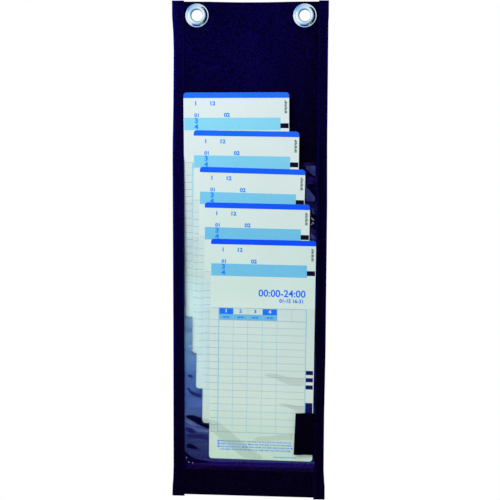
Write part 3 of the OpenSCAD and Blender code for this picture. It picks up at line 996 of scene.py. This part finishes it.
# sheet, finish, outline in x and z: dark gaps in the painted reflection, painted shade and painted
# reflections; the shades are painted shade of long soft creases over the front card
vinylMarks["patches"] = [
    (5, "gap", [(-52, -324.5), (-50, -323), (-45.5, -323), (-39, -325), (-38, -329.5), (-32.5, -330.5),
        (-32.5, -334), (-36.5, -333), (-44, -329), (-49.5, -326)]),
    (5, "gap", [(-51.5, -349), (-50, -347), (-47, -347), (-43.5, -349), (-41.5, -351), (-44, -351.5),
        (-50.5, -350.5)]),
    (5, "gap", [(-52.5, -353), (-49, -356.5), (-44, -359.5), (-33.5, -361), (-33.5, -362), (-52.5, -364.5)]),
    (5, "dusk", [(-50.5, -290), (-49, -289), (-47, -289.5), (-45.5, -291), (-47.5, -292)]),
    (5, "dusk", [(-51, -301), (-50, -300), (-48.5, -300.5), (-47, -303), (-43, -304.5), (-39, -305.5),
        (-39, -308), (-43, -307.5), (-47.5, -305.5)]),
    (5, "dusk", [(-52, -333), (-48, -333.5), (-42.5, -337.5), (-47.5, -338.5), (-52, -335.5)]),
    (5, "dusk", [(-51.5, -338.8), (-33.5, -338.8), (-33.5, -344), (-41.5, -342.5), (-50.5, -342.5)]),
    (5, "streak", [(-51.5, -327), (-48, -327.5), (-40.5, -332.5), (-45.5, -332), (-51.5, -329)]),
    (5, "streak", [(-48, -332.2), (-41.5, -334), (-32.5, -335.5), (-32.5, -337), (-41.5, -337)]),
    (1, "facet", [(45, -118.5), (52.5, -118.5), (53, -127), (50.5, -126), (45, -121)]),
    (1, "dusk", [(46, -128), (50.5, -127.5), (52, -132.5), (46.5, -133.5)]),
    (1, "facet", [(45, -135.5), (47, -137), (52.5, -144), (52.3, -147), (45, -147)]),
    (2, "facet", [(49.5, -152.5), (51, -152.5), (52.5, -157.5), (50, -156)]),
    (2, "facet", [(48.5, -172), (52.5, -175), (52.5, -177.5), (49, -177)]),
    (5, "shade", [(12.5, -288.5), (16, -287), (23.5, -287.5), (30.5, -289.5), (38, -290.5), (45, -290),
        (45, -293), (44, -296), (37, -296.5), (31, -295.5), (25.5, -293.5), (22.5, -291), (18, -290.5)]),
    (5, "shade", [(23.5, -312), (29, -311.5), (38, -313), (45, -313.5), (44.5, -316), (41, -317),
        (36.5, -316.5), (32.5, -315), (27, -313.5)]),
    (5, "shade", [(-38.5, -325), (-36, -325), (-32, -326.5), (-28, -327), (-21.5, -331), (-15.5, -335.5),
        (-10.5, -340), (-3.5, -346), (1, -350.5), (5.5, -352.5), (10.5, -355.5), (11, -358), (3, -358.5),
        (-4, -357.5), (-11.5, -352), (-16, -347.5), (-21.5, -344), (-25.5, -340.5), (-29, -337),
        (-31.5, -336), (-35, -331.5), (-37, -329.5)]),
    (5, "shade", [(4.5, -341.5), (8.5, -339.5), (16.5, -339), (25.5, -337.5), (36, -337), (35.5, -341.5),
        (25.5, -342.5), (16.5, -343), (5.5, -343)])]
# short ridges with painted glints: sheet, x, z, length, width, turn, bend
vinylMarks["ridges"] = [
    (5, -47, -265.6, 4.4, 0.5, 10, 0.25), (5, -43.6, -266.8, 4, 0.45, -14, 0.3),
    (5, -44.6, -269.4, 5, 0.45, -10, 0.3), (5, -51.3, -358.6, 0.8, 0.8, 0, 0),
    (5, -49.4, -362.4, 0.8, 0.8, 0, 0), (5, -46.2, -363, 0.8, 0.8, 0, 0), (2, 50.7, -161.2, 3.4, 0.5, -45, 0),
    (2, 51, -164.2, 2, 0.4, -40, 0), (2, 50, -165.4, 0.8, 0.6, 0, 0)]


def bulge(k, x, z):
    # soft outward swell of the front sheet, in millimetres
    if k < 5:
        return 0
    side = smooth(*vinyl["swellX"], abs(x))
    low, high = floorZ(5), mouthZ(5)
    tall = smooth(low, low + vinyl["foot"], z) * (1 - 0.5 * smooth(high - vinyl["head"], high, z))
    soft = noise.noise(Vector((x * 0.03, z * 0.018, 1.7)))
    soft += 0.5 * noise.noise(Vector((x * 0.05 + z * 0.03, z * 0.04, 8.2)))
    clear = 1 - smooth(*vinyl["tabX"], x) * smooth(*vinyl["tabZ"], z)  # keeps off the ribbon tab
    least, more = vinyl["swell"]
    return max(0, least + more * soft) * side * tall * clear


def vinylFront(k, x, z):
    return frontY(sheetOff(z - floorZ(k) + strip, 1) + vinylT - vinylMarks["sunk"] + bulge(k, x, z))


def vinylPatch(k, finish, edge):
    # a painted patch, of reflection, shade or gap, with a crisp outline, laid on the sheet as a thin skin
    skin = added(meshOps.primitive_circle_add, vertices=len(edge), radius=1, fill_type="NGON")
    for v, (x, z) in zip(skin.data.vertices, edge):
        v.co = (x * mm, 0, z * mm)
    setMode("EDIT")
    meshOps.select_all(action="SELECT")
    meshOps.quads_convert_to_tris()
    meshOps.subdivide(number_cuts=2)
    thick = (vinylMarks["skin"] + vinylMarks["sunk"]) * mm
    meshOps.extrude_region_move(TRANSFORM_OT_translate={"value": (0, -thick, 0)})
    setMode("OBJECT")
    for v in skin.data.vertices:
        v.co.y += vinylFront(k, v.co.x / mm, v.co.z / mm) * mm
    tidyNormals(skin, 40)
    dress(skin, mark[finish])
    return skin


def vinylRidge(k, x, z, long, wide, turn, bend):
    # one short ridge with a painted glint, lying on the sheet
    ridge = oneStitch()
    t = radians(turn)
    for v in ridge.data.vertices:
        a, d, c = (v.co.x * long / mm, v.co.y * vinylMarks["ridge"] * 2 / mm, v.co.z * wide / mm)
        c += bend * (4 * a * a / long / long - 0.5)
        px, pz = x + a * cos(t) - c * sin(t), z + a * sin(t) + c * cos(t)
        v.co = Vector((px, vinylFront(k, px, pz) + d, pz)) * mm
    dress(ridge, mark["crease"])
    return ridge


def overCard(x, z):
    for j in range(1, 6):
        p = cardPlace(j).inverted() @ Vector((x, cardPlace(j).translation.y, z))
        if abs(p.x) < cardHalf * mm and 0 < p.z < card["h"] * mm:
            return True
    return False


def cutAlongCards(sheet):
    # the sheet carries its painted reflection, a haze, over bare cloth only, so it is split along the edges
    # of the cards behind it
    pick(sheet)
    setMode("EDIT")
    for j in range(1, 6):
        seat = cardPlace(j)
        low = seat.translation
        side = seat.to_3x3() @ Vector((1, 0, 0))
        up = seat.to_3x3() @ Vector((0, 0, 1))
        half = side * cardHalf * mm
        for at, way in ((low - half, side), (low + half, side), (low, up), (low + up * card["h"] * mm, up)):
            meshOps.select_all(action="SELECT")
            meshOps.bisect(plane_co=at, plane_no=Vector((way.x, 0, way.z)).normalized())
    setMode("OBJECT")
    for f in sheet.data.polygons:
        f.material_index = 0 if overCard(f.center.x, f.center.z) else 1


def makeVinyl(k):
    def place(u, v):
        x = (u - 0.5) * 2 * vinyl["edge"]
        up = v * (strip + depth)
        z = floorZ(k) - strip + up
        f = 1 - smooth(lipEdge, seamX, abs(x))
        o = sheetOff(up, f) + vinylT / 2 + bulge(k, x, z)
        return sideX(x, z), frontY(o), z

    thick = vinylT - holder["shy"]
    sheet = gridSheet(f"vinylPocket{k}", vinyl["across"], vinyl["along"], place, thick)
    dress(sheet, clearVinyl, veiledVinyl)
    cutAlongCards(sheet)
    marks = [make(*m) for make, kind in ((vinylPatch, "patches"), (vinylRidge, "ridges"))
             for m in vinylMarks[kind] if m[0] == k]
    sheet = joinAll(sheet.name, [sheet] + marks)
    settle(sheet, "panel", "clear_vinyl", f"pocket_sheet_{k}")


for k in range(1, 6):
    makeVinyl(k)
print("stage: pockets welded")


# ribbon tab: folded ribbon, free edge standing off the pocket

ribbon = {
    "w": 15.4, "h": 34.5, "t": 0.8, "rest": 6, "up": 6, "slant": 1.4, "wall": 0.34, "fold": 0.06,
    "curl": 0.16, "wavy": 0.12, "steps": (40, 24), "flat": (0.0345, 0.0318)}


def makeRibbon():
    r = ribbon["t"] / 2
    x0 = lipEdge - r - 0.05
    off = floorOff + vinylT + 0.1 + r + ribbon["up"] * layer / holder["pitch"]
    seat = Matrix.Translation(Vector((x0, frontY(off), floorZ(5) + ribbon["up"])) * mm)
    seat = seat @ Matrix.Rotation(lean, 4, "X") @ Matrix.Rotation(radians(ribbon["rest"]), 4, "Z")
    apart, leaf, fold = r - ribbon["wall"] / 2, ribbon["w"] - r, ribbon["fold"]

    def place(u, v):
        # along the ribbon: back leaf out from the seam, round the fold, front leaf home
        s = u * 2 - 1
        if abs(s) > fold:
            x = -leaf * (1 - (abs(s) - fold) / (1 - fold))
            y = apart * (1 if s < 0 else -1)
        else:
            a = pi / 2 * s / fold
            x = -leaf - apart * cos(a)
            y = -apart * sin(a)
        curl = ribbon["curl"] * smooth(2, 14, -x) * sin(v * 5 + 0.6)
        x -= ribbon["slant"] * (1 - v) * -x / leaf
        return x, y - abs(curl) * 0.5, v * ribbon["h"] + ribbon["wavy"] * sin(x * 0.6)

    tab = gridSheet("ribbonTab", *ribbon["steps"], place, ribbon["wall"])
    tab.data.transform(seat)
    dress(tab, ribbonDark)
    settle(tab, "label", "ribbon", "label_tab")


makeRibbon()
print("stage: ribbon tab folded")


# light, floor and backdrop

studio = {
    "side": 0.5, "front": 0.72, "ahead": (-0.6, -0.97), "across": (1.35, 0.5), "upward": (0.55, 1.3),
    "floor": -0.47, "floorR": 0.24, "grey": 0.92, "aim": (0, 0, -0.19), "key": 6.3,
    "keyPlace": (-0.45, -0.62, 0.38), "keySize": 0.4, "back": 6, "backPlace": (0.25, 0.85, 0.1),
    "backSize": 0.6, "shineWay": (-0.5, 0.75, 0.45), "shineSpan": (-0.8, 1),
    "shine": [(0, 0.01, 0.02, 0.16), (0.22, 0.05, 0.12, 0.5), (0.42, 0.26, 0.42, 0.58),
        (0.62, 0.66, 0.82, 0.88), (0.83, 0.96, 1, 1), (1, 1, 1, 1)]}


def makeRoom():
    # soft room light, brighter at the left and above, white behind the holder
    # the metal mirrors a blue and white room, its back one as bright as its front one
    world = bpy.data.worlds.new("whiteRoom")
    bpy.context.scene.world = world
    world.use_nodes = True
    work["on"] = world
    x, y, z = axes("Generated")
    ahead = slope(y, *studio["ahead"], studio["side"], studio["front"], "SMOOTHSTEP")
    around = product(slope(x, -1, 1, *studio["across"]), slope(z, -1, 1, *studio["upward"]))
    soft = world.node_tree.nodes["Background"]
    soft.inputs["Color"].default_value = (1, 1, 1, 1)
    link(product(ahead, around), soft.inputs["Strength"])
    bothWays = feed(addNode("CombineXYZ"), x, blend("ABSOLUTE", y, 0), z)[0]
    shineWay = Vector(studio["shineWay"]).normalized()
    mirrored = feed(addNode("VectorMath", operation="DOT_PRODUCT"), bothWays, shineWay)["Value"]
    toward = slope(mirrored, *studio["shineSpan"])
    shine = feed(addNode("Background"), graded(toward, studio["shine"]))[0]
    paper = addNode("Background", Color=(1, 1, 1, 1)).outputs[0]
    seen = addNode("LightPath").outputs
    light = soft.outputs[0]
    for ray, other in (("Is Glossy Ray", shine), ("Is Camera Ray", paper)):
        light = feed(addNode("MixShader"), seen[ray], light, other)[0]
    link(light, world.node_tree.nodes["World Output"].inputs["Surface"])


def addSoftbox(which):
    lamp = added(bpy.ops.object.light_add, type="AREA", location=studio[which + "Place"])
    lamp.name = which + "Softbox"
    setAll(lamp.data, energy=studio[which], size=studio[which + "Size"])
    lamp.visible_glossy = False
    way = Vector(studio["aim"]) - lamp.location
    lamp.rotation_euler = way.to_track_quat("-Z", "Y").to_euler()


def makeFloor():
    # pale floor that fades out into the white
    wide = studio["floorR"]
    floor = added(meshOps.primitive_circle_add, vertices=96, radius=wide, fill_type="NGON",
                  location=(0, 0, studio["floor"]))
    floor.name = "paleFloor"
    newMaterial("paleFloor")
    reach = feed(addNode("VectorMath", operation="LENGTH"), addNode("TexCoord").outputs["Object"])["Value"]
    fade = slope(reach, wide, 0.4 * wide, ease="SMOOTHSTEP")
    dress(floor, surface([studio["grey"]] * 3, 0.9, 0, Alpha=fade))


makeRoom()
addSoftbox("key")
addSoftbox("back")
makeFloor()
setAll(bpy.context.scene.view_settings, view_transform="Standard", look="None")
bpy.context.scene.cycles.transparent_max_bounces = 40
print("stage: studio lit")
